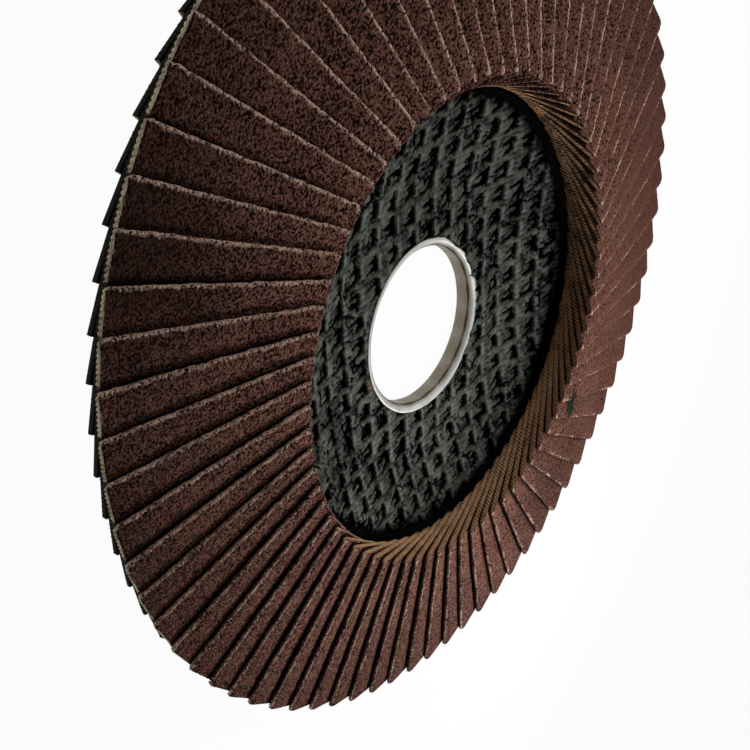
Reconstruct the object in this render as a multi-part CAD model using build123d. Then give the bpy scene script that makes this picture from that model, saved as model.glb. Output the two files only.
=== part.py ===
from build123d import *
import math
import os

# Flap disc for an angle grinder: flaps of grained cloth, fanned round a dished plate of
# glass mesh and resin, with a steel ring in its bore.
# Millimetres. +Z points from the grinder's side to the working face, and Z = 0 is the flat
# back of the hub, which the disc rests on. The bore is on the Z axis.

# ---------------------------------------------------------------- flaps
flap_count = 72
first_flap_angle = 3.2          # degrees from +X to the outer free corner of flap 1
flap_width = 15.3               # across the flap, from its free edge to its glued edge
flap_thickness = 0.74           # cloth and grain together
free_edge_offset = 10.15        # from the axis to the line of the free edge
corner_radius = 59.2            # where the free edge's outer corner runs
inner_corner_radius = 32.5      # where the free edge's inner corner runs
free_corner_height_in = 11.7    # height of the free edge at its inner corner
free_corner_height_out = 7.2    # height of the free edge at its outer corner
flap_slope_in = 0.335           # fall across the flap at its inner end
flap_slope_out = 0.163          # fall across the flap at its outer end
flap_panels_along = 3           # flat panels that the cloth's twist is made of
flap_panels_across = 2
flaps_per_node = 2

# ---------------------------------------------------------------- steel ring
bore_radius = 11.115
ring_wall = 0.5
ring_back_flange_radius = 13.8
ring_height = 2.8               # from the back face to the rim of the front flare
flare_radius = 11.95            # inside edge of the flared rim
flare_depth = 0.68
flare_lip = 0.25                # width and depth of the flare's blunt edge

# ---------------------------------------------------------------- backing plate
hub_thickness = 2.6
hub_radius = 19.5               # flat of the hub, front side
dish_radius = 30.2              # where the wall of the dish ends
dish_top = 5.65                 # height of the plate's shoulder
shoulder_width = 1.8
hub_back_radius = 21.0          # flat of the hub, grinder's side
shoulder_thickness = 2.1
plate_radius = 53.0
plate_rim_thickness = 1.6
ring_clearance = 0.03

# ---------------------------------------------------------------- glass weave of the plate
weave_pitch_x = 3.82            # between the flat yarns that run along Y
weave_pitch_y = 3.28            # between the pairs of thin yarns that run across them
weave_skew = 2.0                # degrees that the thin yarns slant from X
pit_centre_x = 1.75             # middle of one pit between the yarns
pit_width = 2.3                 # along X, between two flat yarns
pit_length = 2.2                # along Y, between two pairs of thin yarns
pit_depth = 0.4                 # at the pit's edge nearest the bore
weave_inner_radius = 13.6       # pits lie wholly outside this circle
weave_outer_radius = 28.0       # and wholly inside this one

# ---------------------------------------------------------------- adhesive
bond_radius = 51.0
bond_bed = 0.45                 # depth of the bed below the flaps' glued edges
bead_height = 1.0               # bead that covers the feet of the flaps, above the bed
bond_gap = 0.02                 # between the bed and the flaps, and the bead and the flaps

# ---------------------------------------------------------------- sizes that follow
pitch_angle = 360 / flap_count
flap_x_in = math.sqrt(inner_corner_radius ** 2 - free_edge_offset ** 2)
flap_x_out = math.sqrt(corner_radius ** 2 - free_edge_offset ** 2)
glued_edge_offset = flap_width - free_edge_offset
corner_lead_angle = math.degrees(math.asin(free_edge_offset / corner_radius))
node_count = math.ceil(flap_count / flaps_per_node)


def along(x, value_in, value_out):
    """Value at distance x along a flap, from its values at the inner and outer end."""
    share = (x - flap_x_in) / (flap_x_out - flap_x_in)
    return value_in + (value_out - value_in) * share


def flap_top(x, y):
    """Height of a flap's top, x along the flap from the axis and y across it."""
    free_edge = along(x, free_corner_height_in, free_corner_height_out)
    slope = along(x, flap_slope_in, flap_slope_out)
    return free_edge - slope * (y + free_edge_offset)


def glued_edge_bottom(x):
    """Height of the underside of a flap at its glued edge."""
    return flap_top(x, glued_edge_offset) - flap_thickness


def evenly(first, last, parts):
    """Values from first to last that mark off equal parts."""
    return [first + (last - first) * step / parts for step in range(parts + 1)]


def flap():
    """One flap with its long middle line along +X: a rectangle of cloth, twisted a little.

    The cloth is a sheet of flat panels. Its twist shows as a crease across each panel.
    """
    stations = evenly(flap_x_in, flap_x_out, flap_panels_along)
    offsets = evenly(-free_edge_offset, glued_edge_offset, flap_panels_across)

    def point(i, j, side):
        x, y = stations[i], offsets[j]
        return (x, y, flap_top(x, y) - flap_thickness * side)

    faces = []
    for i in range(flap_panels_along):
        for j in range(flap_panels_across):
            for side in (0, 1):
                near, far = point(i, j, side), point(i + 1, j + 1, side)
                faces.append(make_face(Polyline(near, point(i + 1, j, side), far, close=True)))
                faces.append(make_face(Polyline(near, far, point(i, j + 1, side), close=True)))
    for i in range(flap_panels_along):
        for j in (0, flap_panels_across):
            corners = [point(i, j, 0), point(i + 1, j, 0), point(i + 1, j, 1), point(i, j, 1)]
            faces.append(make_face(Polyline(*corners, close=True)))
    for j in range(flap_panels_across):
        for i in (0, flap_panels_along):
            corners = [point(i, j, 0), point(i, j + 1, 0), point(i, j + 1, 1), point(i, j, 1)]
            faces.append(make_face(Polyline(*corners, close=True)))
    return Solid(Shell(faces))


def flap_group(first, count):
    """Neighbouring flaps, each a solid of its own."""
    master = flap()
    flaps = []
    for number in range(first, first + count):
        angle = first_flap_angle + corner_lead_angle + number * pitch_angle
        flaps.append(master.rotate(Axis.Z, angle))
    return Compound(children=flaps)


def revolved(points):
    """Full turn about Z of a closed outline given as (radius, height) points."""
    outline = make_face(Polyline(*[(r, 0, z) for r, z in points], close=True))
    return revolve(outline, Axis.Z, 360)


def bed_height(radius):
    """Top of the adhesive bed, just below the glued edges of the flaps."""
    r_in = math.hypot(flap_x_in, glued_edge_offset)
    r_out = math.hypot(flap_x_out, glued_edge_offset)
    share = (radius - r_in) / (r_out - r_in)
    z_in = glued_edge_bottom(flap_x_in)
    z_out = glued_edge_bottom(flap_x_out)
    return z_in + (z_out - z_in) * share - bond_gap


def plate_band_height(radius):
    """Top of the plate where it carries the adhesive."""
    return bed_height(radius) - bond_bed


def plate_front(radius):
    """Height of the plate's front on its hub and on the wall of the dish."""
    share = max(0, (radius - hub_radius) / (dish_radius - hub_radius))
    return hub_thickness + (dish_top - hub_thickness) * share


def weave_pits():
    """Upright pits in the openings between the yarns, inside the weave's two circles."""
    pits = []
    reach = math.ceil(weave_outer_radius / min(weave_pitch_x, weave_pitch_y))
    for column in range(-reach, reach + 1):
        x = pit_centre_x + column * weave_pitch_x
        for row in range(-reach, reach + 1):
            y = row * weave_pitch_y + x * math.tan(math.radians(weave_skew))
            nearest = math.hypot(abs(x) - pit_width / 2, abs(y) - pit_length / 2)
            farthest = math.hypot(abs(x) + pit_width / 2, abs(y) + pit_length / 2)
            if nearest > weave_inner_radius and farthest < weave_outer_radius:
                floor = plate_front(nearest) - pit_depth
                size = (pit_width, pit_length, dish_top - floor)
                pits.append(Pos(x, y, floor) * Box(*size, align=(Align.CENTER, Align.CENTER, Align.MIN)))
    return pits


def plate_blank():
    """Dished plate before weaving: flat hub, sloping wall, and a band that falls outwards."""
    hole = bore_radius + ring_wall + ring_clearance
    flange_pocket = ring_back_flange_radius + ring_clearance
    pocket_depth = ring_wall + ring_clearance
    shoulder = dish_radius + shoulder_width
    countersink = flare_radius + flare_lip + ring_clearance
    rim_top = plate_band_height(plate_radius)
    return revolved([
        (hole, pocket_depth),
        (hole, ring_height - flare_depth - ring_wall),
        (countersink, hub_thickness),
        (hub_radius, hub_thickness),
        (dish_radius, dish_top),
        (shoulder, plate_band_height(shoulder)),
        (plate_radius, rim_top),
        (plate_radius, rim_top - plate_rim_thickness),
        (dish_radius, dish_top - shoulder_thickness),
        (hub_back_radius, 0),
        (flange_pocket, 0),
        (flange_pocket, pocket_depth),
    ])


def backing_plate():
    """Dished plate with the glass weave standing proud of the pits in its front."""
    return plate_blank() - weave_pits()


def arbor_ring():
    """Pressed steel ring: flange flush with the back of the hub, rim flared over its front."""
    flare_start = ring_height - flare_depth
    return revolved([
        (bore_radius, 0),
        (bore_radius, flare_start),
        (flare_radius, ring_height),
        (flare_radius + flare_lip, ring_height - flare_lip),
        (bore_radius + ring_wall, flare_start - ring_wall),
        (bore_radius + ring_wall, ring_wall),
        (ring_back_flange_radius, ring_wall),
        (ring_back_flange_radius, 0),
    ])


def adhesive_bond():
    """Adhesive: a bed on the plate's band and a bead against the inner ends of the flaps."""
    bead_outer = flap_x_in - bond_gap
    shoulder = dish_radius + shoulder_width
    return revolved([
        (dish_radius, dish_top),
        (bead_outer, bed_height(bead_outer) + bead_height),
        (bead_outer, bed_height(bead_outer)),
        (bond_radius, bed_height(bond_radius)),
        (bond_radius, plate_band_height(bond_radius)),
        (shoulder, plate_band_height(shoulder)),
    ])


def save(shape, node):
    export_step(shape, f"parts/{node}.step")


os.makedirs("parts", exist_ok=True)
save(backing_plate(), "backing_plate")
save(arbor_ring(), "arbor_ring")
save(adhesive_bond(), "adhesive_bond")
for index in range(node_count):
    start = index * flaps_per_node
    size = min(flaps_per_node, flap_count - start)
    save(flap_group(start, size), f"flap_pair_{index + 1:02d}")
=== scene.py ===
import math

import bpy
import numpy as np
from mathutils import Matrix, Vector


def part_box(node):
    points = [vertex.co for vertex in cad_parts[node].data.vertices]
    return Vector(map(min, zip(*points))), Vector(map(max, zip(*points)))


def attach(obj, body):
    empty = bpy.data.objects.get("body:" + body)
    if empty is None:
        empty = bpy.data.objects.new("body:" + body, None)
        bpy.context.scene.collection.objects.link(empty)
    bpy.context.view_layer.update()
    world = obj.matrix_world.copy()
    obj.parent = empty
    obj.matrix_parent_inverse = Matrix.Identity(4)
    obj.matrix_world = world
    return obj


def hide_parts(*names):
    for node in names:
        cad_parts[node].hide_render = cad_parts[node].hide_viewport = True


bl_info = {
    "name": "Flap Disc",
    "version": (1, 0, 0),
    "blender": (4, 5, 0),
    "location": "3D View > Sidebar > Flap Disc",
    "description": "Grained cloth flaps fanned round a woven backing plate with a steel bore ring",
    "category": "Add Mesh",
}

# Metres throughout. The disc lies on its back at Z = 0 with its bore on the Z axis.
MM = 0.001
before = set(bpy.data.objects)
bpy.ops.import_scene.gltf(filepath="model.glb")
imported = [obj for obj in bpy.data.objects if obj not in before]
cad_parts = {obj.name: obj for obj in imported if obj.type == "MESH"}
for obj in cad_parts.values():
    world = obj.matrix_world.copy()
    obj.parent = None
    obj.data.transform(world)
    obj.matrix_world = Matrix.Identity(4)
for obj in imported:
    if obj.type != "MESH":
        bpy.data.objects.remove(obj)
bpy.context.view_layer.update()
FLAP_NODES = sorted(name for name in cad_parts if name.startswith("flap_pair"))
PLATE_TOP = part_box("backing_plate")[1].z
RING_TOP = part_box("arbor_ring")[1].z
RING_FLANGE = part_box("arbor_ring")[1].x
PLATE_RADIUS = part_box("backing_plate")[1].x
BOND_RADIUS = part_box("adhesive_bond")[1].x

# Marks of wear: centre and half sizes of the smear on one flap and of the rust by the ring.
SMEAR = ((0.0301, -0.0243, 0.0102), (1.9 * MM, 2.7 * MM, 4 * MM))
RUST = ((-0.0122, -0.0038, 0.0026), (0.6 * MM, 1.3 * MM, MM))
# Patches of painted shade on the grain, and one of painted light where the share is negative:
# place, reach, and how much is added.
PAINTED_LIGHT_AND_SHADE_PLACES = (
    ((-0.0485, 0.029, 0.008), 0.015, 0.35),
    ((0.025, -0.036, 0.008), 0.017, 0.30),
    ((-0.046, -0.033, 0.007), 0.026, -0.20),
)
# The grain is smoothest on the flaps nearest this place.
SMOOTH_PLACE = (0.075, 0, 0)
# Sides of the disc, in degrees from +X, where each mark on the flaps is at its most: painted shade
# in the gaps and at the inner ends, crumbs, rubbing with painted light on the tops, and painted
# light on the lips.
SHADED_GAP_SIDE = 225
CRUMBLED_SIDE = 200
RUBBED_AND_LIT_SIDE = 155
LIT_LIP_SIDE = 150
SHADED_END_SIDE = 55
# Where the ring's rim is torn most, in radians from +X.
TORN_ANGLE = 0.25
# Where the weave was patched with resin: centre and half sizes.
PATCH = ((-22 * MM, -9 * MM), (5 * MM, 9 * MM))

# Slots left of each opening's upright one: middle, length and half thickness in millimetres.
PRONGS = ((-0.60, 1.9, 0.33), (0.66, 1.6, 0.27), (0.05, 0.9, 0.20))

# Steps round the ring and the adhesive.
SEGMENTS = 480

NEAR_BLACK = (0.004, 0.003, 0.002)
# Name of the value that each point of a mesh carries, and that its material reads.
SHADE = "shade"
# Material numbers on a flap.
GRAIN, INNER_END, BACK, EDGE, RIM_END, LINT = range(6)

CAMERA_PLACE = (-0.10152, 0.06231, 0.08513)
CAMERA_RIGHT = (0.67407, -0.08628, 0.73361)
CAMERA_UP = (0.53543, 0.74125, -0.40480)
CAMERA_BACK = (-0.50886, 0.66566, 0.54585)
CAMERA_SHIFT = (0.0585, 0.3249)
# Name, setting of its power, place, target, size in metres and spread in degrees of each lamp.
LAMPS = (
    ("key_lamp", "key_power", (0.140, 0.030, 0.150), (0.030, -0.020, 0.005), 0.07, 100),
    ("low_lamp", "low_power", (0.050, -0.100, 0.090), (0.000, -0.030, 0.005), 0.05, 140),
    ("side_lamp", "side_power", (0.100, 0.130, 0.080), (0.000, 0.000, 0.005), 0.05, 120),
)


# ------ settings


def setting_maker(kind, **fixed):
    """Function that makes settings of one kind from a name, a description and a default."""

    def make(name, description, default):
        return kind(name=name, description=description, default=default, **fixed)

    return make


length = setting_maker(bpy.props.FloatProperty, unit="LENGTH", precision=6)
plain = setting_maker(bpy.props.FloatProperty)
turn = setting_maker(bpy.props.FloatProperty, subtype="ANGLE")
colour = setting_maker(bpy.props.FloatVectorProperty, subtype="COLOR", size=3, min=0, max=1)


class FlapSettings(bpy.types.PropertyGroup):
    """Sizes and colours of the abrasive flaps."""

    count: bpy.props.IntProperty(name="Flaps", description="Flaps round the disc", default=72)
    first_angle: turn("First angle", "From +X to the first outer free corner", math.radians(3.2))
    width: length("Width", "From the free edge to the glued edge", 15.3 * MM)
    thickness: length("Thickness", "Cloth and grain together", 0.74 * MM)
    edge_offset: length("Edge offset", "From the axis to the line of the free edge", 10.15 * MM)
    outer_radius: length("Outer radius", "Where the outer free corners run", 59.2 * MM)
    inner_radius: length("Inner radius", "Where the inner free corners run", 32.5 * MM)
    height_in: length("Inner height", "Free edge at its inner corner", 11.7 * MM)
    height_out: length("Outer height", "Free edge at its outer corner", 7.2 * MM)
    slope_in: plain("Inner slope", "Fall across the flap at its inner end", 0.335)
    slope_out: plain("Outer slope", "Fall across the flap at its outer end", 0.163)
    mesh_step: length("Mesh step", "Spacing of the mesh on the open part of a flap", 0.3 * MM)
    relief: length("Relief", "How far the grain stands up and down", 0.05 * MM)
    droop: length("Edge droop", "How far the rounded free edge falls", 0.34 * MM)
    corner: length("Corner", "Radius of the worn free corners", 0.6 * MM)
    end_swell: length("End swell", "How much thicker the inner cut end is", 0.16 * MM)
    thread_pitch: length("Thread pitch", "Between the threads of the cloth at a cut end", 0.6 * MM)
    grain_dark: colour("Dark grain", "Hollows between the grains", (0.010, 0.005, 0.004))
    grain_mid: colour("Grain", "Most of the grain", (0.165, 0.072, 0.052))
    grain_light: colour("Light grain", "Chipped grain", (0.34, 0.19, 0.15))
    # The rubbed edge colour also serves as painted light on the free edges' lips.
    edge: colour("Rubbed edge", "Grain and size rubbed pale at the free edge", (0.80, 0.53, 0.41))
    thread: colour("Thread", "Cut threads at the inner ends", (0.78, 0.455, 0.25))
    rim_thread: colour("Rim thread", "Cut threads at the rim", (0.42, 0.36, 0.245))
    thread_dark: colour("Thread shade", "Between the cut threads", (0.075, 0.042, 0.023))


class PlateSettings(bpy.types.PropertyGroup):
    """Sizes and colours of the backing plate."""

    hub_height: length("Hub height", "Front of the hub above its back", 2.6 * MM)
    hub_radius: length("Hub radius", "Flat front of the hub", 19.5 * MM)
    dish_radius: length("Dish radius", "Where the wall of the dish ends", 30.2 * MM)
    hub_back_radius: length("Hub back radius", "Flat back of the hub", 21.0 * MM)
    shoulder: length("Shoulder", "Thickness of the plate at the top of the dish", 2.1 * MM)
    rim: length("Rim", "Thickness of the plate at its rim", 1.6 * MM)
    pitch_x: length("Warp pitch", "Between the flat yarns that run along Y", 3.82 * MM)
    pitch_y: length("Weft pitch", "Between the pairs of thin yarns along X", 3.28 * MM)
    opening_x: length("Opening", "Middle of one opening between two flat yarns", 1.75 * MM)
    skew: turn("Skew", "Slant of the thin yarns from X", math.radians(2))
    weft_spread: length("Weft spread", "Between the two thin yarns of a pair", 1.64 * MM)
    depth: length("Depth", "Depth of the openings below the yarns", 0.75 * MM)
    mesh_step: length("Mesh step", "Spacing of the mesh on the front", 0.178 * MM)
    resin: colour("Resin", "Resin over the yarns", (0.052, 0.058, 0.048))
    # Painted shade: near black for the openings.
    painted_opening_shade: colour("Deep resin", "Resin in the openings", (0.0015, 0.0015, 0.0015))


class RingSettings(bpy.types.PropertyGroup):
    """Sizes and colours of the bore ring."""

    bore_radius: length("Bore radius", "Radius of the bore", 11.115 * MM)
    wall: length("Wall", "Thickness of the steel", 0.5 * MM)
    flare_radius: length("Flare radius", "Outside of the flared rim", 12.35 * MM)
    flare_depth: length("Flare depth", "Height of the flare", 0.68 * MM)
    steel: colour("Steel", "Dull pressed steel", (0.41, 0.41, 0.385))
    # Partly tarnish, partly a painted darker reflection in the bore.
    tarnish_and_shade: colour("Tarnish", "Brown tarnish in the bore", (0.235, 0.205, 0.15))


class BondSettings(bpy.types.PropertyGroup):
    """Sizes and colours of the adhesive."""

    gap: length("Gap", "Between the adhesive and the flaps", 0.02 * MM)
    bed: length("Bed", "Depth of the adhesive below the flaps", 0.45 * MM)
    bead: length("Bead", "Height of the bead above the bed", 1.0 * MM)
    shoulder: length("Shoulder", "Where the bed meets the plate, outside the dish", 1.8 * MM)
    glue: colour("Adhesive", "Cured adhesive", (0.0022, 0.0022, 0.0022))


class StageSettings(bpy.types.PropertyGroup):
    """Camera, lamps and floor."""

    lens: plain("Lens", "Focal length in millimetres on a 36 mm sensor", 46.36)
    key_power: plain("Key", "Power of the key lamp in watts", 0.036)
    low_power: plain("Low lamp", "Power of the lamp at the front in watts", 0.094)
    side_power: plain("Side lamp", "Power of the lamp at the side in watts", 0.024)
    floor_glow: plain("Floor glow", "How bright the white floor is to the disc", 0.8)
    sky: plain("Sky", "Strength of the even light all round", 0.035)


# ------ helpers


def lattice(ix, iy, iz, seed):
    """Random number from -1 to 1 for each point of a lattice."""
    mixed = (ix * 73856093 + iy * 19349663 + iz * 83492791 + seed * 2654435) & 0x7FFFFFFF
    mixed = ((mixed ^ (mixed >> 13)) * 60493) & 0x7FFFFFFF
    mixed = ((mixed ^ (mixed >> 11)) * 48271) & 0x7FFFFFFF
    return (mixed ^ (mixed >> 15)) % 65536 / 32767.5 - 1


def smooth_noise(points, size, seed):
    """Smooth noise from -1 to 1 at an array of points, with lumps about size across."""
    scaled = points / size
    cell = np.floor(scaled).astype(np.int64)
    part = scaled - cell
    part = part * part * (3 - 2 * part)
    total = np.zeros(scaled.shape[:-1])
    for corner in range(8):
        step = np.array([corner & 1, corner >> 1 & 1, corner >> 2 & 1])
        weight = np.where(step == 1, part, 1 - part).prod(axis=-1)
        total += weight * lattice(*np.moveaxis(cell + step, -1, 0), seed)
    return total


def grid_faces(rows, columns, start=0, close=False):
    """Quads of a grid of points stored row by row; close joins the last column to the first."""
    row = np.arange(rows - 1)[:, None] * columns
    column = np.arange(columns if close else columns - 1)[None, :]
    following = (column + 1) % columns
    quads = np.stack(
        [row + column, row + following, row + columns + following, row + columns + column], -1
    )
    return quads.reshape(-1, 4) + start


class Builder:
    """Collects points, quads, material numbers and one point value, then makes a mesh piece."""

    def __init__(self):
        self.points = []
        self.faces = []
        self.slots = []
        self.values = []
        self.size = 0

    def add(self, points, faces, slots, values):
        """Adds a sheet of points; faces count from 0 within it."""
        self.points.append(points)
        self.faces.append(faces + self.size)
        self.slots.append(np.broadcast_to(slots, len(faces)))
        self.values.append(np.broadcast_to(values, len(points)))
        self.size += len(points)

    def piece(self, name, materials, record_slot):
        """Makes the mesh piece, riding on the disc."""
        mesh = bpy.data.meshes.new(name)
        points = np.concatenate(self.points)
        faces = np.concatenate(self.faces)
        mesh.from_pydata(points.tolist(), [], faces.tolist())
        for material in materials:
            mesh.materials.append(material)
        slots = np.concatenate(self.slots).astype(np.int32)
        mesh.polygons.foreach_set("material_index", slots)
        mesh.polygons.foreach_set("use_smooth", np.ones(len(slots), bool))
        mesh.validate()
        layer = mesh.attributes.new(SHADE, "FLOAT", "POINT")
        layer.data.foreach_set("value", np.concatenate(self.values).astype(np.float32))
        mesh.update()
        piece = add_object(name, mesh)
        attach(piece, "root")
        return piece


def unit(values):
    """Values held between 0 and 1."""
    return np.clip(values, 0, 1)


def add_object(name, data):
    """New object in the scene."""
    made = bpy.data.objects.new(name, data)
    bpy.context.scene.collection.objects.link(made)
    return made


def scaled(base, share):
    """Colour made lighter or darker."""
    return [min(1, c * share) for c in base]


def facing(angle, degrees):
    """1 for a flap on the side of the disc at so many degrees from +X, and -1 opposite it."""
    return math.cos(angle - math.radians(degrees))


def turned(x, y, z, angle):
    """Rows of points turned about Z."""
    cos, sin = math.cos(angle), math.sin(angle)
    return np.stack([x * cos - y * sin, x * sin + y * cos, z], -1).reshape(-1, 3)


# ------ materials


def make_node(tree, kind, sockets, **attributes):
    """New node; each socket is set to a number, a colour or another node's output."""
    node = tree.nodes.new("ShaderNode" + kind)
    for name, value in attributes.items():
        setattr(node, name, value)
    for socket, value in sockets.items():
        target = node.inputs[socket]
        if isinstance(value, bpy.types.NodeSocket):
            tree.links.new(value, target)
        elif hasattr(value, "__len__") and len(target.default_value) > len(value):
            target.default_value = (*value, 1)
        else:
            target.default_value = value
    return node


class Nodes:
    """Short way to write a material's node tree."""

    def __init__(self, name):
        self.material = bpy.data.materials.new(name)
        self.material.use_nodes = True
        self.tree = self.material.node_tree
        self.tree.nodes.clear()
        self.place = self.make("TexCoord", {}).outputs["Object"]

    def make(self, kind, sockets, **attributes):
        return make_node(self.tree, kind, sockets, **attributes)

    def noise(self, size, detail=2.0, roughness=0.5, place=None):
        """Noise with lumps about size across."""
        place = self.place if place is None else place
        sockets = {"Vector": place, "Scale": 1 / size, "Detail": detail, "Roughness": roughness}
        return self.make("TexNoise", sockets).outputs["Fac"]

    def math(self, operation, first, second):
        return self.make("Math", {0: first, 1: second}, operation=operation).outputs[0]

    def add(self, first, second):
        return self.math("ADD", first, second)

    def times(self, first, second):
        return self.math("MULTIPLY", first, second)

    def ramp(self, value, stops):
        """Colour ramp through (position, colour) stops."""
        node = self.make("ValToRGB", {"Fac": value})
        elements = node.color_ramp.elements
        while len(elements) < len(stops):
            elements.new(0.5)
        for element, (position, stop) in zip(elements, stops):
            element.position = position
            element.color = (*stop, 1)
        return node.outputs["Color"]

    def span(self, value, low, high, new_low=0.0, new_high=1.0):
        """Maps low to high onto new_low to new_high, clamped."""
        sockets = {"From Min": low, "From Max": high, "To Min": new_low, "To Max": new_high}
        return self.make("MapRange", {"Value": value, **sockets}).outputs["Result"]

    def sway(self, noise, amount):
        """Noise that runs from minus amount to amount."""
        return self.span(noise, 0.3, 0.7, -amount, amount)

    def mix(self, share, first, second):
        """Share of the second colour laid over the first."""
        node = self.make("Mix", {0: share, 6: first, 7: second}, data_type="RGBA")
        return node.outputs[2]

    def shade(self):
        """Point value that the mesh carries."""
        return self.make("Attribute", {}, attribute_name=SHADE).outputs["Fac"]

    def distance(self, centre=(0, 0, 0), sizes=(1, 1, 1)):
        """Distance from a centre, counted in a size of its own along each axis."""
        offset = self.make("VectorMath", {0: self.place, 1: centre}, operation="SUBTRACT")
        sockets = {0: offset.outputs["Vector"], 1: sizes}
        counted = self.make("VectorMath", sockets, operation="DIVIDE")
        sockets = {0: counted.outputs["Vector"]}
        return self.make("VectorMath", sockets, operation="LENGTH").outputs["Value"]

    def stain(self, centre, sizes):
        """Ragged spot round a place on the disc: 1 inside, 0 outside."""
        ragged = self.sway(self.noise(0.9 * MM, 3), 0.35)
        return self.span(self.add(self.distance(centre, sizes), ragged), 0.85, 1.1, 1, 0)

    def bump(self, height, distance, strength):
        sockets = {"Height": height, "Distance": distance, "Strength": strength}
        return self.make("Bump", sockets).outputs["Normal"]

    def finish(self, base, roughness, normal=None, metallic=0.0, specular=0.5):
        """Joins the looks to the surface and gives the material."""
        sockets = {"Base Color": base, "Roughness": roughness, "Metallic": metallic}
        sockets["Specular IOR Level"] = specular
        if normal is not None:
            sockets["Normal"] = normal
        surface = self.make("BsdfPrincipled", sockets).outputs["BSDF"]
        self.make("OutputMaterial", {"Surface": surface})
        return self.material


def grain_material(settings):
    """Abrasive grain: red-brown grains with dark hollows, pale along the free edge from rubbing and
    painted light, and painted shade where flaps dive under, towards the rim and in patches.
    """
    nodes = Nodes("abrasive_grain")
    fine = nodes.noise(0.30 * MM, 1.5, 0.6)
    second = nodes.noise(0.75 * MM, 1.0)
    broad = nodes.noise(9 * MM, 2)
    tone = nodes.add(nodes.times(fine, 0.8), nodes.times(second, 0.2))
    tone = nodes.add(tone, nodes.sway(broad, 0.02))
    smooth = nodes.span(nodes.distance(SMOOTH_PLACE), 30 * MM, 70 * MM, 0.75, 0)
    even_tone = 0.495
    tone = nodes.add(tone, nodes.times(smooth, nodes.math("SUBTRACT", even_tone, tone)))
    base = nodes.ramp(
        tone,
        [
            (0.44, settings.grain_dark),
            (0.49, scaled(settings.grain_mid, 1.05)),
            (0.57, scaled(settings.grain_mid, 1.4)),
            (0.66, settings.grain_light),
        ],
    )
    # Painted shade: the grain is darker towards the rim, darker still in some patches and lighter
    # in one.
    painted_shade = nodes.span(nodes.distance(), 37 * MM, 57 * MM, 0, 0.45)
    for place, reach, added in PAINTED_LIGHT_AND_SHADE_PLACES:
        extra = nodes.span(nodes.distance(place), 0.3 * reach, reach, added, 0)
        painted_shade = nodes.add(painted_shade, extra)
    base = nodes.mix(painted_shade, base, scaled(settings.grain_mid, 0.1))
    shade = nodes.shade()
    # Pale along the free edge, partly rubbed grain and partly painted light.
    worn = nodes.times(nodes.span(shade, 0.04, 0.40), nodes.span(fine, 0.38, 0.50))
    base = nodes.mix(worn, base, settings.edge)
    # Painted shade where a flap dives under its neighbour.
    base = nodes.mix(nodes.span(shade, -0.04, -0.46, 0, 0.93), base, scaled(NEAR_BLACK, 0.5))
    base = nodes.mix(nodes.stain(*SMEAR), base, (0.016, 0.019, 0.012))
    normal = nodes.bump(fine, 0.25 * MM, nodes.span(smooth, 0, 0.75, 1.0, 0.15))
    return nodes.finish(base, 0.85, normal, specular=0.02)


def cut_cloth_material(name, thread, dark):
    """Cut ends of the cloth: pale threads with dark between them."""
    nodes = Nodes(name)
    fine = nodes.noise(0.2 * MM, 2)
    broad = nodes.noise(2.5 * MM, 2)
    tone = nodes.add(nodes.shade(), nodes.sway(fine, 0.22))
    tone = nodes.add(tone, nodes.sway(broad, 0.14))
    tip = scaled(thread, min(1.5, 1 / max(thread)))
    base = nodes.ramp(tone, [(0.0, NEAR_BLACK), (0.2, dark), (0.6, thread), (0.95, tip)])
    normal = nodes.bump(fine, 0.1 * MM, 0.7)
    return nodes.finish(base, 0.85, normal, specular=0.15)


def dark_edge_material(settings):
    """Free edge of the cloth: grain and size above, painted shade below."""
    nodes = Nodes("sized_edge")
    fine = nodes.noise(0.3 * MM, 2)
    tone = nodes.add(nodes.shade(), nodes.sway(fine, 0.3))
    grain = scaled(settings.grain_mid, 0.6)
    base = nodes.ramp(tone, [(0.0, NEAR_BLACK), (0.25, grain), (0.6, settings.edge)])
    normal = nodes.bump(fine, 0.15 * MM, 0.8)
    return nodes.finish(base, 0.85, normal, specular=0.08)


def cloth_back_material():
    """Back of the cloth: brown twill sized with resin."""
    nodes = Nodes("cloth_back")
    sockets = {"Vector": nodes.place, "Scale": 1 / (4.8 * MM), "Distortion": 1.5}
    twill = nodes.make("TexWave", sockets).outputs["Fac"]
    base = nodes.ramp(twill, [(0.2, (0.10, 0.055, 0.032)), (0.8, (0.21, 0.125, 0.075))])
    normal = nodes.bump(twill, 0.06 * MM, 0.8)
    return nodes.finish(base, 0.8, normal, specular=0.25)


def resin_material(settings):
    """Black resin over glass yarns: grey-green on the yarns with painted highlights, and black in
    the openings by painted shade.
    """
    nodes = Nodes("resin_weave")
    fine = nodes.noise(0.5 * MM, 4)
    broad = nodes.noise(7 * MM, 2)
    stretched = nodes.make("Mapping", {"Vector": nodes.place, "Scale": (1, 0.12, 1)})
    strands = nodes.noise(0.22 * MM, 2, 0.5, stretched.outputs["Vector"])
    lift = nodes.add(nodes.shade(), nodes.sway(fine, 0.14))
    lift = nodes.add(lift, nodes.span(broad, 0.35, 0.65, -0.08, 0.08))
    base = nodes.ramp(
        lift,
        [
            (0.16, settings.painted_opening_shade),
            (0.42, scaled(settings.resin, 0.5)),
            (0.68, settings.resin),
            (0.95, scaled(settings.resin, 2.1)),
        ],
    )
    height = nodes.add(fine, nodes.times(strands, 0.6))
    normal = nodes.bump(height, 0.14 * MM, 0.7)
    rough = nodes.span(fine, 0.3, 0.7, 0.42, 0.62)
    base = nodes.mix(nodes.stain(*RUST), base, (0.085, 0.048, 0.018))
    return nodes.finish(base, rough, normal, specular=nodes.span(lift, 0.35, 0.7, 0.0, 0.14))


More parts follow.
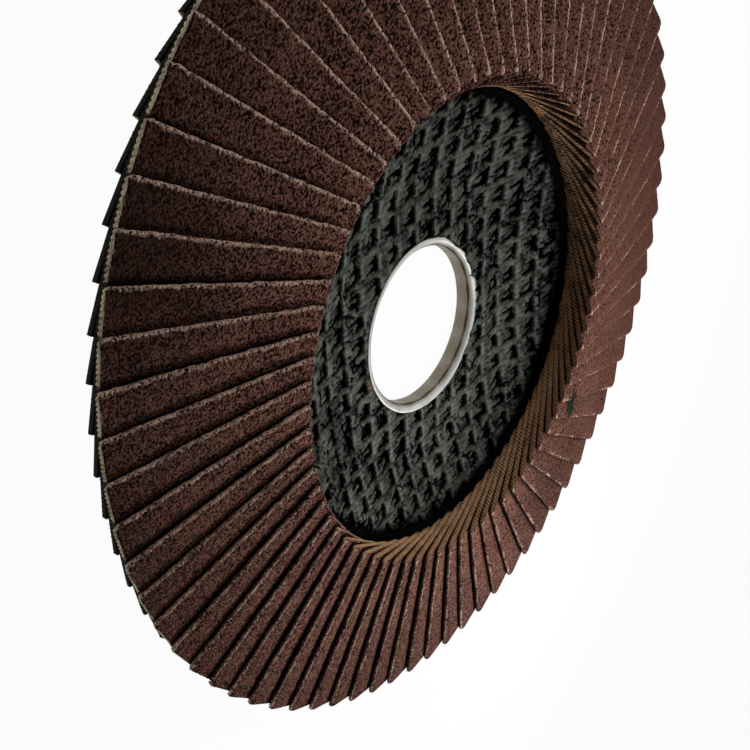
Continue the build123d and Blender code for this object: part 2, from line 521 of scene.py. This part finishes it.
def steel_material(settings):
    """Pressed steel, dull on its flare, brown in the bore from tarnish and a painted darker
    reflection, and painted shade in the groove.
    """
    nodes = Nodes("ring_steel")
    fine = nodes.noise(0.35 * MM, 3)
    broad = nodes.noise(2.2 * MM, 2)
    shade = nodes.add(nodes.shade(), nodes.sway(fine, 0.08))
    steel = settings.steel
    bright = nodes.ramp(broad, [(0.3, scaled(steel, 0.85)), (0.7, scaled(steel, 1.1))])
    base = nodes.mix(nodes.span(shade, 0.1, 0.5), bright, settings.tarnish_and_shade)
    base = nodes.mix(nodes.span(shade, 0.65, 0.9), base, (0.05, 0.036, 0.024))
    normal = nodes.bump(fine, 0.03 * MM, 0.5)
    rough = nodes.span(fine, 0.3, 0.7, 0.45, 0.62)
    return nodes.finish(base, rough, normal, metallic=0.6, specular=0.3)


def glue_material(settings):
    """Cured black adhesive."""
    nodes = Nodes("black_adhesive")
    fine = nodes.noise(0.6 * MM, 3)
    base = nodes.ramp(fine, [(0.3, settings.glue), (0.8, scaled(settings.glue, 2.5))])
    normal = nodes.bump(fine, 0.2 * MM, 0.8)
    return nodes.finish(base, 0.9, normal, specular=0.0)


def lint_material():
    """Pale broken fibres and crumbs of size."""
    nodes = Nodes("pale_lint")
    fine = nodes.noise(0.3 * MM, 2)
    base = nodes.ramp(fine, [(0.3, (0.30, 0.19, 0.14)), (0.7, (0.62, 0.46, 0.37))])
    return nodes.finish(base, 0.85, specular=0.2)


# ------ flaps


def flap_reach(settings):
    """Distances along a flap to its inner and its outer end."""
    inner = math.sqrt(settings.inner_radius**2 - settings.edge_offset**2)
    outer = math.sqrt(settings.outer_radius**2 - settings.edge_offset**2)
    return inner, outer


def flap_top(settings, x, y):
    """Height of a flap's top, x along the flap and y across it."""
    inner, outer = flap_reach(settings)
    share = (x - inner) / (outer - inner)
    edge = settings.height_in + (settings.height_out - settings.height_in) * share
    slope = settings.slope_in + (settings.slope_out - settings.slope_in) * share
    return edge - slope * (y + settings.edge_offset)


def flap_open(settings, x):
    """Width of a flap that its neighbour leaves open, at distance x along it."""
    pitch = 2 * math.pi / settings.count
    edge = (x * math.sin(pitch) - settings.edge_offset) / math.cos(pitch)
    return edge + settings.edge_offset


def flap_angle(settings, number):
    """Angle of a flap's long middle line."""
    lead = math.asin(settings.edge_offset / settings.outer_radius)
    return settings.first_angle + lead + number * 2 * math.pi / settings.count


def edge_droop(settings, from_edge):
    """How far a flap's rounded free edge falls below the line of its top."""
    return settings.droop * unit(1 - from_edge / (1.4 * MM)) ** 2


def edge_thickness(settings, from_edge):
    """Thickness of a flap, pressed thinner at its free edge."""
    return settings.thickness * (1 - 0.5 * unit(1 - from_edge / (1.2 * MM)))


def corner_cut(settings, from_edge):
    """How far a flap's rounded free corner falls short of its square end."""
    part = unit(1 - from_edge / settings.corner)
    return settings.corner * (1 - np.sqrt(1 - part**2))


def flap_rows(settings, stations):
    """Distances from the free edge of the points across a flap: on top, underneath, on the edge."""
    fine = np.array([0.0, 0.16, 0.34, 0.56]) * MM
    tucked = 0.9 * MM
    wide = flap_open(settings, stations)[:, None] + tucked
    near = np.tile(fine, (len(stations), 1))
    shown = fine[-1] + (wide - fine[-1]) * np.linspace(0, 1, 17)[None, 1:]
    hidden = wide + (settings.width - wide) * np.linspace(0, 1, 5)[None, 1:]
    top = np.concatenate([near, shown, hidden], 1)
    under = np.tile(np.linspace(settings.width, 0, 7), (len(stations), 1))
    lip = np.array([0.78, 0.5, 0.25])
    from_edge = np.concatenate([top, under, np.zeros((len(stations), len(lip)))], 1)
    depth = np.concatenate([np.zeros(top.shape[1]), np.ones(under.shape[1]), lip])
    return from_edge, depth, top.shape[1], under.shape[1]


def flap_body(builder, settings, number, angle):
    """Sheet of one flap: grain on top, cut free edge, cloth underneath."""
    inner, outer = flap_reach(settings)
    nose = 0.16 * MM
    stations = np.linspace(inner + nose, outer - nose, int((outer - inner) / settings.mesh_step))
    from_edge, depth, top_rows, under_rows = flap_rows(settings, stations)
    y_grid = from_edge - settings.edge_offset
    x_grid = np.broadcast_to(stations[:, None], y_grid.shape)
    gap = flap_open(settings, x_grid) - from_edge
    cut = corner_cut(settings, from_edge)
    x_grid = x_grid - cut * unit((x_grid - outer) / (4 * MM) + 1)
    x_grid = x_grid + 0.6 * cut * unit((inner - x_grid) / (4 * MM) + 1)
    depth = np.broadcast_to(depth, y_grid.shape)
    # Each flap reads a layer of the noise of its own.
    place = np.stack([x_grid, y_grid, np.full(y_grid.shape, number * 3.7 * MM)], -1)

    def lumps(size, seed):
        return smooth_noise(place, size, seed)

    spread = np.random.default_rng(100 + number).uniform(-1, 1, y_grid.shape)
    grain = (spread * 0.6 + lumps(0.6 * MM, 17)) * settings.relief
    wave = lumps(7 * MM, 7) * 0.04 * MM
    fray = lumps(0.8 * MM, 11)
    burr = unit(1 - from_edge / (0.6 * MM)) * (0.03 + 0.06 * fray + 0.04 * spread) * MM
    z = flap_top(settings, x_grid, y_grid) - edge_droop(settings, from_edge) + wave
    z = z - depth * edge_thickness(settings, from_edge) + np.where(depth == 0, grain + burr, 0)
    on_edge = from_edge < 0.01 * MM
    y_out = y_grid + np.where(on_edge, 0.09 * fray + 0.07 * spread, 0) * MM
    columns = y_grid.shape[1]
    faces = grid_faces(len(stations), columns, close=True)
    column = faces[:, 0] % columns
    below = np.where(column < top_rows + under_rows, BACK, EDGE)
    slots = np.where(column < top_rows - 1, GRAIN, below)
    patchy = lumps(2.4 * MM, 19)
    top = top_shade(settings, angle, x_grid, from_edge, gap, fray, patchy, spread)
    shade = np.where(depth == 0, top, edge_shade(angle, depth, patchy, spread))
    builder.add(turned(x_grid, y_out, z, angle), faces[:, ::-1], slots, shade.ravel())


def top_shade(settings, angle, x, from_edge, gap, fray, patchy, spread):
    """How pale a flap's top is from rubbing and painted light, up to 0.5, and how dark with painted
    shade where it dives under its neighbour, down to -0.5.
    """
    inner, outer = flap_reach(settings)
    # Painted shade: a dark band where the top dives under its neighbour, widest on one side of the
    # disc.
    openness = max(0.0, facing(angle, SHADED_GAP_SIDE))
    painted_tuck_width = (0.12 + 0.16 * openness) * MM
    painted_tuck_shade = unit(1.1 - gap / (painted_tuck_width * (1 + 0.4 * fray)))
    painted_tuck_shade = np.maximum(painted_tuck_shade, 0.25 * unit(1 - gap / (1.2 * MM + 0.3 * MM * fray)))
    # Pale strip along the free edge: rubbed grain, with painted light strongest on one side of the
    # disc.
    pale = unit(1.3 - from_edge / (0.34 * MM + 0.18 * MM * fray))
    kept = 0.58 + 0.50 * facing(angle, RUBBED_AND_LIT_SIDE)
    pale = pale * unit(kept + 0.6 * patchy + 0.4 * spread)
    tip = unit(1.6 - np.hypot((x - inner) / (0.9 * MM), from_edge / (0.7 * MM)))
    rim = unit(1.2 - (outer - x) / (0.25 * MM)) * 0.5
    pale = np.maximum(pale, np.maximum(tip, rim) * unit(0.75 + 0.5 * spread))
    return pale * 0.5 - painted_tuck_shade * 0.5


def edge_shade(angle, depth, patchy, spread):
    """How pale a flap's cut free edge is: pale at the top from size and painted light, strongest on
    one side of the disc, and darker with depth by painted shade, darkest on another side.
    """
    openness = max(0.0, facing(angle, SHADED_GAP_SIDE))
    lit_lips = max(0.0, facing(angle, LIT_LIP_SIDE))
    high, middle = 0.5 + 0.3 * lit_lips, 0.25 + 0.35 * lit_lips
    low = 0.1 + 0.3 * lit_lips - 0.4 * openness
    shade = np.where(depth < 0.3, high, np.where(depth < 0.6, middle, low))
    return shade + 0.25 * patchy + 0.15 * spread


def flap_end(builder, settings, number, angle, at, outwards, pitch):
    """Rounded cut end of one flap, with a bead for each thread."""
    free = -settings.edge_offset
    count = int(settings.width / (pitch / 4))
    y = np.linspace(free, free + settings.width, count)
    # Depth of each row below the top, in thicknesses, and how far it lies in from the end.
    depth = np.array([-0.03, -0.03, 0.06, 0.25, 0.45, 0.65, 0.85, 1.0, 1.0])
    inset = np.array([0.40, 0.14, 0.05, 0.0, 0.0, 0.0, 0.03, 0.12, 0.4]) * MM
    depth_grid, y_grid = np.meshgrid(depth, y, indexing="ij")
    inset_grid = np.broadcast_to(inset[:, None], depth_grid.shape)
    random = np.random.default_rng(900 + number + (0 if outwards < 0 else 5000))
    phase = random.uniform(0, math.pi)
    lean = 0.7 if outwards < 0 else 0.3
    bead = np.abs(np.sin(math.pi * (y_grid / pitch - depth_grid * lean) + phase))
    place = np.stack([depth_grid * MM, y_grid, np.full(y_grid.shape, number * MM)], -1)
    ragged = smooth_noise(place, 0.8 * MM, 31 + number)
    inside = (inset_grid < 0.13 * MM) * 1.0
    recess = inset_grid + inside * ((1 - bead) * 0.20 + (ragged + 1) * 0.04) * MM
    from_edge = y_grid - free
    x = at - outwards * (recess + corner_cut(settings, from_edge) * (1 if outwards > 0 else 0.6))
    thick = edge_thickness(settings, from_edge)
    if outwards < 0:
        thick = thick + unit(from_edge / MM) * settings.end_swell
    z = flap_top(settings, x, y_grid) - edge_droop(settings, from_edge) - depth_grid * thick
    faces = grid_faces(len(depth), len(y))
    # Grain over the top, threads down the cut end and the cloth's back underneath.
    row = faces[:, 0] // len(y)
    threads = INNER_END if outwards < 0 else RIM_END
    slots = np.where(row < 1, GRAIN, np.where(row > 6, BACK, threads))
    if outwards > 0:
        shade = (0.42 + 0.22 * bead + 0.22 * ragged) * inside
        # Painted shade: the cut end turns dark where it lies under the neighbouring flap.
        buried_shade = unit((from_edge - flap_open(settings, at)) / (0.5 * MM) + 0.5)
        shade = shade * (1 - buried_shade) - 0.6 * buried_shade
        faces = faces[:, ::-1]
    else:
        shade = (0.14 + 0.82 * bead + 0.18 * ragged) * inside
        # Painted shade: the inner ends are darker on one side of the disc and in their lowest rows.
        painted_shade = 0.4 * max(0.0, facing(angle, SHADED_END_SIDE))
        shade = shade - painted_shade - 0.35 * unit((depth_grid - 0.80) * 4)
    builder.add(turned(x, y_grid, z, angle), faces[:, ::-1], slots, shade.ravel())


def crumbs(builder, settings, number, angle):
    """Pale crumbs of size and broken fibre that cling to one flap's free edge."""
    inner, outer = flap_reach(settings)
    random = np.random.default_rng(7000 + number)
    count = int(16 + 12 * facing(angle, CRUMBLED_SIDE))
    x = inner + 0.3 * MM + (outer - inner - 0.6 * MM) * random.uniform(0, 1, count) ** 1.3
    y = -settings.edge_offset + np.abs(random.normal(0, 0.22, count)) * MM
    size = random.uniform(0.04, 0.12, count) * MM
    z = flap_top(settings, x, y) - edge_droop(settings, y + settings.edge_offset) + size * 0.3
    square = [(-1, -1), (1, -1), (1, 1), (-1, 1)]
    corners = np.array([(*corner, level) for level in (-1, 1) for corner in square])
    walls = [(k, (k + 1) % 4, (k + 1) % 4 + 4, k + 4) for k in range(4)]
    sides = np.array([(0, 3, 2, 1), (4, 5, 6, 7), *walls])
    stretch = random.uniform(0.5, 1.4, (count, 8, 1))
    points = np.stack([x, y, z], -1)[:, None, :] + corners * stretch * size[:, None, None]
    faces = np.arange(count)[:, None, None] * 8 + sides
    points = turned(*points.reshape(-1, 3).T, angle)
    builder.add(points, faces.reshape(-1, 4), LINT, 0)


class FLAPDISC_OT_flaps(bpy.types.Operator):
    """Builds the abrasive flaps, one piece for each pair of neighbours"""

    bl_idname = "flapdisc.flaps"
    bl_label = "Flaps"

    def execute(self, context):
        settings = context.scene.flapdisc_flaps
        materials = [
            grain_material(settings),
            cut_cloth_material("inner_cut_ends", settings.thread, settings.thread_dark),
            cloth_back_material(),
            dark_edge_material(settings),
            cut_cloth_material("rim_cut_ends", settings.rim_thread, settings.thread_dark),
            lint_material(),
        ]
        inner, outer = flap_reach(settings)
        pitch = settings.thread_pitch
        per_piece = settings.count // len(FLAP_NODES)
        random = np.random.default_rng(5)
        for index, node in enumerate(FLAP_NODES):
            builder = Builder()
            for number in range(index * per_piece, (index + 1) * per_piece):
                angle = flap_angle(settings, number) + math.radians(random.uniform(-0.15, 0.15))
                flap_body(builder, settings, number, angle)
                flap_end(builder, settings, number, angle, inner, -1, pitch)
                flap_end(builder, settings, number, angle, outer, 1, pitch)
                crumbs(builder, settings, number, angle)
            piece = builder.piece(node + "_cloth", materials, "abrasive_cloth")
            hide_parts(node)
        return {"FINISHED"}


# ------ backing plate


def plate_front(settings, radius):
    """Height of the plate's front on its hub and on the wall of the dish."""
    wall = settings.dish_radius - settings.hub_radius
    share = np.clip((radius - settings.hub_radius) / wall, 0, 2)
    return settings.hub_height + (PLATE_TOP - settings.hub_height) * share


def weave_height(settings, x, y):
    """Height of the woven front against the yarns' tops, and how light it is from 0 to 1, with
    painted light on raised parts and painted shade in the openings.
    """
    place = np.stack([x, y, np.zeros_like(x)], -1)

    def noise(size, seed):
        return smooth_noise(place, size, seed)

    bent = noise(6 * MM, 41) * 0.12 * MM
    x_bent = x + bent + noise(0.8 * MM, 46) * 0.09 * MM
    y_bent = y - x * math.tan(settings.skew) + bent + noise(0.8 * MM, 47) * 0.10 * MM
    column = np.floor((x_bent - settings.opening_x) / settings.pitch_x + 0.5)
    row = np.floor(y_bent / settings.pitch_y + 0.5)
    across = x_bent - settings.opening_x - column * settings.pitch_x
    along = y_bent - row * settings.pitch_y
    column, row = column.astype(np.int64), row.astype(np.int64)
    slot, prongs = opening_depth(across, along, column, row)
    closing = noise(5 * MM, 43) * 0.6 + lattice(column, row, column * 0, 51) * 0.4
    kept = 1 - np.clip((closing - 0.45) * 2.5, 0, 0.85)
    (patch_x, patch_y), (half_x, half_y) = PATCH
    patched = unit(1.4 - np.hypot((x - patch_x) / half_x, (y - patch_y) / half_y))
    kept = kept * (1 - 0.6 * patched)
    slot, prongs = slot * kept, prongs * kept
    crown = 0.06 * MM * np.cos(across / settings.pitch_x * 2 * math.pi + math.pi)
    strands = 0.035 * MM * np.cos(along / (settings.weft_spread / 2) * 2 * math.pi)
    lumps = noise(1.1 * MM, 44) * 0.6 + noise(0.45 * MM, 45) * 0.4
    cracks = crack_depth(place, patched)
    height = crown + strands + lumps * 0.15 * MM - cracks * 0.18 * MM
    height = height - np.maximum(slot * settings.depth, prongs * settings.depth * 0.6)
    # Painted light: raised lumps and thin yarns are lighter; the cracks are darker.
    light = 0.55 + lumps * 0.36 - cracks * 0.65 + strands / MM * 1.5
    # Painted highlight: a bright band on the flat yarn just right of each opening.
    painted_highlight = unit((1.25 * MM - np.abs(along)) / (0.3 * MM)) * (1 - patched)
    light = light + 0.42 * painted_highlight * np.exp(-(((across - 1.25 * MM) / (0.30 * MM)) ** 2))
    # Darker over the last 1.3 mm before the dish's edge, by the adhesive bead.
    near_bead = unit((np.hypot(x, y) - settings.dish_radius) / (1.3 * MM) + 1 + lumps * 0.6)
    light = light * (1 - 0.8 * near_bead)
    # Painted shade: the openings and the slots left of them are made dark.
    return height, unit(light) * (1 - np.maximum(slot, prongs)) ** 2


def crack_depth(place, patched):
    """How deep the resin is cracked, from 0 to 1, most of all where it was patched."""
    cracks = np.zeros(len(place))
    for seed, stretch in ((48, (1.0, 0.35, 1.0)), (49, (0.35, 1.0, 1.0)), (52, (0.8, 0.8, 1.0))):
        ridge = np.abs(smooth_noise(place * np.array(stretch), 0.85 * MM, seed))
        cracks = np.maximum(cracks, unit(1 - ridge / 0.10))
    return cracks * unit(smooth_noise(place, 2.0 * MM, 50) * 2 + 0.15 + patched)


def opening_depth(across, along, column, row):
    """How far, from 0 to 1, a place is in an opening's upright slot and in the slots left of it."""

    def chance(seed):
        return lattice(column, row, column * 0, seed)

    def edge(distance):
        return unit(distance / (0.12 * MM) + 0.5)

    middle_slot = (0.44 + 0.15 * chance(61)) * MM
    half = (0.36 + 0.12 * chance(62)) * MM
    high = (1.00 + 0.25 * chance(63)) * MM
    slot = edge(half - np.abs(across - middle_slot)) * edge(high - np.abs(along))
    prongs = np.zeros_like(across)
    for number, (middle, longest, thickest) in enumerate(PRONGS):
        reach = (longest + 0.7 * chance(64 + number)) * MM
        gone = middle_slot - across
        share = unit(gone / np.maximum(reach, 0.3 * MM))
        lean = 0.25 + 0.18 * chance(74 + number)
        line = (middle + 0.15 * chance(70 + number)) * MM - gone * lean
        thin = (thickest + 0.10 * chance(78 + number)) * MM * (1 - 0.65 * share)
        prong = edge(thin - np.abs(along - line)) * edge(reach - gone) * (gone > 0)
        prongs = np.maximum(prongs, prong)
    return slot, prongs


def plate_front_sheet(builder, settings, inner, outer):
    """Woven front of the plate, from under the ring's flare to under the bead."""
    count = int(2 * outer / settings.mesh_step) + 1
    line = np.linspace(-outer, outer, count)
    x, y = (grid.ravel() for grid in np.meshgrid(line, line, indexing="ij"))
    radius = np.hypot(x, y)
    near = np.maximum(radius, 1e-9)
    kept = np.clip(radius, inner, outer)
    x, y = x * kept / near, y * kept / near
    height, openness = weave_height(settings, x, y)
    z = plate_front(settings, kept) + height
    z = np.where(radius <= inner, settings.hub_height - 0.3 * MM, z)
    faces = grid_faces(count, count)
    middle = radius[faces].mean(axis=1)
    faces = faces[(middle > inner - settings.mesh_step) & (middle < outer + settings.mesh_step)]
    used, back = np.unique(faces, return_inverse=True)
    points = np.stack([x, y, z], -1)[used]
    builder.add(points, back.reshape(faces.shape)[:, ::-1], 0, openness[used])


def plate_back_sheet(builder, settings, bond, inner, outer):
    """Rim and back of the plate, turned about the bore."""
    flaps = bpy.context.scene.flapdisc_flaps
    shoulder = settings.dish_radius + bond.shoulder
    rim_top = band_height(flaps, bond, PLATE_RADIUS) - bond.bed
    bevel = 0.3 * MM
    flange_pocket, pocket_depth = RING_FLANGE + 0.03 * MM, 0.53 * MM
    profile = [
        (outer, float(plate_front(settings, outer)) - 0.05 * MM),
        (shoulder, band_height(flaps, bond, shoulder) - bond.bed),
        (PLATE_RADIUS - bevel, rim_top),
        (PLATE_RADIUS, rim_top - bevel),
        (PLATE_RADIUS, rim_top - settings.rim + bevel),
        (PLATE_RADIUS - bevel, rim_top - settings.rim),
        (settings.dish_radius, PLATE_TOP - settings.shoulder),
        (settings.hub_back_radius + 0.8 * MM, 0.25 * MM),
        (settings.hub_back_radius, 0),
        (flange_pocket, 0),
        (flange_pocket, pocket_depth),
        (inner, pocket_depth),
        (inner, settings.hub_height - 0.3 * MM),
    ]
    dull = 0.72
    revolve(builder, profile, SEGMENTS // 2, dull)


def revolve(builder, profile, segments, shade, wobble=None):
    """Sheet made by turning a profile of (radius, height) points about the bore."""
    turn_angle = np.linspace(0, 2 * math.pi, segments, endpoint=False)
    radius, height = np.array(profile).T
    radius_grid, angle_grid = np.meshgrid(radius, turn_angle, indexing="ij")
    height_grid = np.broadcast_to(height[:, None], radius_grid.shape)
    if wobble is not None:
        radius_grid, height_grid = wobble(radius_grid, height_grid, angle_grid)
    x, y = radius_grid * np.cos(angle_grid), radius_grid * np.sin(angle_grid)
    points = np.stack([x, y, height_grid], -1).reshape(-1, 3)
    faces = grid_faces(len(profile), segments, close=True)
    builder.add(points, faces[:, ::-1], 0, shade)


class FLAPDISC_OT_plate(bpy.types.Operator):
    """Builds the backing plate with its woven front"""

    bl_idname = "flapdisc.plate"
    bl_label = "Backing plate"

    def execute(self, context):
        settings = context.scene.flapdisc_plate
        ring = context.scene.flapdisc_ring
        inner = ring.flare_radius - 0.12 * MM
        outer = settings.dish_radius + 0.15 * MM
        builder = Builder()
        plate_front_sheet(builder, settings, inner, outer)
        plate_back_sheet(builder, settings, context.scene.flapdisc_bond, inner, outer)
        piece = builder.piece("woven_plate", [resin_material(settings)], "resin_mesh")
        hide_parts("backing_plate")
        return {"FINISHED"}


# ------ adhesive


def band_height(flaps, bond, radius):
    """Top of the adhesive bed below the flaps' glued edges."""
    inner, outer = flap_reach(flaps)
    glued = flaps.width - flaps.edge_offset
    z_in = flap_top(flaps, inner, glued) - flaps.thickness
    z_out = flap_top(flaps, outer, glued) - flaps.thickness
    near, far = math.hypot(inner, glued), math.hypot(outer, glued)
    return z_in + (z_out - z_in) * (radius - near) / (far - near) - bond.gap


class FLAPDISC_OT_adhesive(bpy.types.Operator):
    """Builds the black adhesive that the flaps are bedded in"""

    bl_idname = "flapdisc.adhesive"
    bl_label = "Adhesive"

    def execute(self, context):
        bond = context.scene.flapdisc_bond
        flaps = context.scene.flapdisc_flaps
        plate = context.scene.flapdisc_plate
        bead_outer = flap_reach(flaps)[0] - bond.gap
        shoulder = plate.dish_radius + bond.shoulder
        bed_in = band_height(flaps, bond, bead_outer)
        bed_out = band_height(flaps, bond, BOND_RADIUS)
        top = bed_in + bond.bead * 0.6
        profile = [
            (plate.dish_radius - 0.1 * MM, PLATE_TOP),
            (plate.dish_radius + 0.2 * MM, PLATE_TOP + (top - PLATE_TOP) * 0.5),
            (bead_outer - 0.12 * MM, top - 0.15 * MM),
            (bead_outer, top),
            (bead_outer, bed_in),
            (BOND_RADIUS - 0.2 * MM, bed_out),
            (BOND_RADIUS, bed_out - 0.2 * MM),
            (BOND_RADIUS, bed_out - bond.bed),
            (shoulder, band_height(flaps, bond, shoulder) - bond.bed),
        ]

        def wobble(radius, height, angle):
            place = np.stack([radius, height, angle * plate.dish_radius], -1)
            lumps = smooth_noise(place, 1.2 * MM, 61) * 0.32 * MM
            # Only the bead is lumpy: its foot and the bed stay where they are.
            lumps[0] = 0
            lumps[4:] = 0
            return radius, height + lumps

        builder = Builder()
        revolve(builder, profile, SEGMENTS, 0, wobble)
        piece = builder.piece("adhesive_bead", [glue_material(bond)], "adhesive")
        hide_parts("adhesive_bond")
        return {"FINISHED"}


# ------ steel ring


class FLAPDISC_OT_ring(bpy.types.Operator):
    """Builds the steel ring with its flared and slightly torn rim"""

    bl_idname = "flapdisc.ring"
    bl_label = "Bore ring"

    def execute(self, context):
        settings = context.scene.flapdisc_ring
        bore = settings.bore_radius
        foot = RING_TOP - settings.flare_depth
        outside = settings.flare_radius
        profile = [
            (bore + 0.1 * MM, 0),
            (bore + 0.02 * MM, 0.03 * MM),
            (bore, 0.12 * MM),
            (bore, foot * 0.5),
            (bore, foot - 0.30 * MM),
            (bore + 0.02 * MM, foot - 0.10 * MM),
            (bore + 0.16 * MM, foot + 0.04 * MM),
            (bore + 0.22 * MM, foot + 0.16 * MM),
            (bore + 0.55 * MM, RING_TOP - 0.14 * MM),
            (outside - 0.24 * MM, RING_TOP),
            (outside - 0.04 * MM, RING_TOP - 0.04 * MM),
            (outside, RING_TOP - 0.14 * MM),
            (outside - 0.04 * MM, RING_TOP - 0.34 * MM),
            (bore + settings.wall, foot - settings.wall),
            (bore + settings.wall, settings.wall),
            (RING_FLANGE - 0.06 * MM, settings.wall),
            (RING_FLANGE, settings.wall - 0.06 * MM),
            (RING_FLANGE, 0.06 * MM),
            (RING_FLANGE - 0.06 * MM, 0),
            (bore + 0.1 * MM, 0),
        ]
        # Tarnish and painted shade at each point of the profile: brown in the bore, partly tarnish
        # and partly a painted darker reflection, and painted shade darkest in the groove above it.
        tarnish_and_shade = np.array([0.1, 0.3, 0.45, 0.5, 0.55, 0.8, 1.0, 0.35, 0.05] + [0.0] * 11)

        def wobble(radius, height, angle):
            place = np.stack([np.cos(angle), np.sin(angle), angle * 0], -1)
            worst = np.clip(np.cos(angle - TORN_ANGLE) * 1.6 - 0.5, 0.04, 1)
            torn = unit(smooth_noise(place, 0.16, 71) + 0.1) * worst
            nicked = unit(smooth_noise(place, 0.045, 73) - 0.3) * worst
            soft = smooth_noise(place, 0.5, 72) * 0.06 * MM
            # Share of the tearing that each point of the rim takes.
            at_rim = np.zeros_like(radius)
            at_rim[8:13] = np.array([0.0, 0.7, 0.95, 1, 0.8])[:, None]
            loss = (torn * 0.6 + nicked * 0.4) * MM
            return radius - at_rim * (loss + soft), height - at_rim * loss * 0.3

        streaks = 0.12 * np.sin(np.tile(np.arange(SEGMENTS), len(profile)) * 0.21)
        shade = np.repeat(tarnish_and_shade, SEGMENTS)
        shade = shade + streaks * (shade > 0.2)
        builder = Builder()
        revolve(builder, profile, SEGMENTS, shade, wobble)
        piece = builder.piece("steel_ring", [steel_material(settings)], "ring_steel")
        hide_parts("arbor_ring")
        return {"FINISHED"}


# ------ stage


class FLAPDISC_OT_stage(bpy.types.Operator):
    """Sets the floor, the lamps and the camera"""

    bl_idname = "flapdisc.stage"
    bl_label = "Stage"

    def execute(self, context):
        settings = context.scene.flapdisc_stage
        scene = context.scene
        scene.view_settings.view_transform = "Standard"
        camera_data = bpy.data.cameras.new("camera")
        camera_data.lens = settings.lens
        camera_data.sensor_width = 36
        camera_data.shift_x, camera_data.shift_y = CAMERA_SHIFT
        camera_data.clip_start, camera_data.clip_end = 0.005, 20
        camera = add_object("camera", camera_data)
        basis = Matrix([CAMERA_RIGHT, CAMERA_UP, CAMERA_BACK]).transposed()
        camera.matrix_world = Matrix.Translation(CAMERA_PLACE) @ basis.to_4x4()
        scene.camera = camera
        add_floor(settings.floor_glow)
        add_sky(settings.sky)
        for name, power, place, target, size, spread in LAMPS:
            add_lamp(name, place, target, size, getattr(settings, power), spread)
        return {"FINISHED"}


def add_lamp(name, place, target, size, power, spread):
    """Square soft lamp that points at a target; spread is in degrees."""
    data = bpy.data.lights.new(name, "AREA")
    data.size = size
    data.energy = power
    data.spread = math.radians(spread)
    lamp = add_object(name, data)
    lamp.location = place
    back = Vector(place) - Vector(target)
    lamp.rotation_euler = back.to_track_quat("Z", "Y").to_euler()


def seen_or_unseen(tree, seen, unseen):
    """Number that is one value to the camera and in mirrors, and another as light on the disc."""
    path = make_node(tree, "LightPath", {}).outputs
    sockets = {0: path["Is Camera Ray"], 1: path["Is Glossy Ray"]}
    either = make_node(tree, "Math", sockets, operation="MAXIMUM").outputs[0]
    sockets = {"Value": either, "To Min": unseen, "To Max": seen}
    return make_node(tree, "MapRange", sockets).outputs[0]


def add_floor(glow_share):
    """Pale floor: white to the camera, with a little of the disc's shadow."""
    mesh = bpy.data.meshes.new("floor")
    side = 3.0
    corners = [(-side, -side, 0), (side, -side, 0), (side, side, 0), (-side, side, 0)]
    mesh.from_pydata(corners, [], [(0, 1, 2, 3)])
    floor = add_object("floor", mesh)
    nodes = Nodes("pale_floor")
    diffuse = nodes.make("BsdfDiffuse", {"Color": (0.8, 0.8, 0.8)}).outputs[0]
    glow = nodes.make("Emission", {"Strength": 1.0}).outputs[0]
    share = seen_or_unseen(nodes.tree, 0.96, glow_share)
    surface = nodes.make("MixShader", {"Fac": share, 1: diffuse, 2: glow}).outputs[0]
    nodes.make("OutputMaterial", {"Surface": surface})
    mesh.materials.append(nodes.material)


def add_sky(strength):
    """Even light from all round, white to the camera."""
    world = bpy.data.worlds.new("sky")
    bpy.context.scene.world = world
    world.use_nodes = True
    tree = world.node_tree
    tree.nodes.clear()
    level = seen_or_unseen(tree, 1.0, strength)
    background = make_node(tree, "Background", {"Strength": level}).outputs[0]
    make_node(tree, "OutputWorld", {"Surface": background})


# ------ panel and start


class FLAPDISC_PT_panel(bpy.types.Panel):
    """Flap disc pieces and their settings"""

    bl_idname = "FLAPDISC_PT_panel"
    bl_label = "Flap Disc"
    bl_space_type = "VIEW_3D"
    bl_region_type = "UI"
    bl_category = "Flap Disc"

    def draw(self, context):
        for operator in OPERATORS:
            self.layout.operator(operator.bl_idname)
        for name, group in SETTINGS.items():
            box = self.layout.box()
            for field in group.__annotations__:
                box.prop(getattr(context.scene, name), field)


OPERATORS = (
    FLAPDISC_OT_plate,
    FLAPDISC_OT_adhesive,
    FLAPDISC_OT_ring,
    FLAPDISC_OT_flaps,
    FLAPDISC_OT_stage,
)
SETTINGS = {
    "flapdisc_flaps": FlapSettings,
    "flapdisc_plate": PlateSettings,
    "flapdisc_ring": RingSettings,
    "flapdisc_bond": BondSettings,
    "flapdisc_stage": StageSettings,
}


def register():
    for name, group in SETTINGS.items():
        bpy.utils.register_class(group)
        setattr(bpy.types.Scene, name, bpy.props.PointerProperty(type=group))
    for operator in OPERATORS:
        bpy.utils.register_class(operator)
    bpy.utils.register_class(FLAPDISC_PT_panel)


def unregister():
    bpy.utils.unregister_class(FLAPDISC_PT_panel)
    for operator in reversed(OPERATORS):
        bpy.utils.unregister_class(operator)
    for name, group in SETTINGS.items():
        delattr(bpy.types.Scene, name)
        bpy.utils.unregister_class(group)


def main():
    register()
    bpy.ops.flapdisc.plate()
    bpy.ops.flapdisc.adhesive()
    bpy.ops.flapdisc.ring()
    bpy.ops.flapdisc.flaps()
    bpy.ops.flapdisc.stage()


if __name__ == "__main__":
    main()
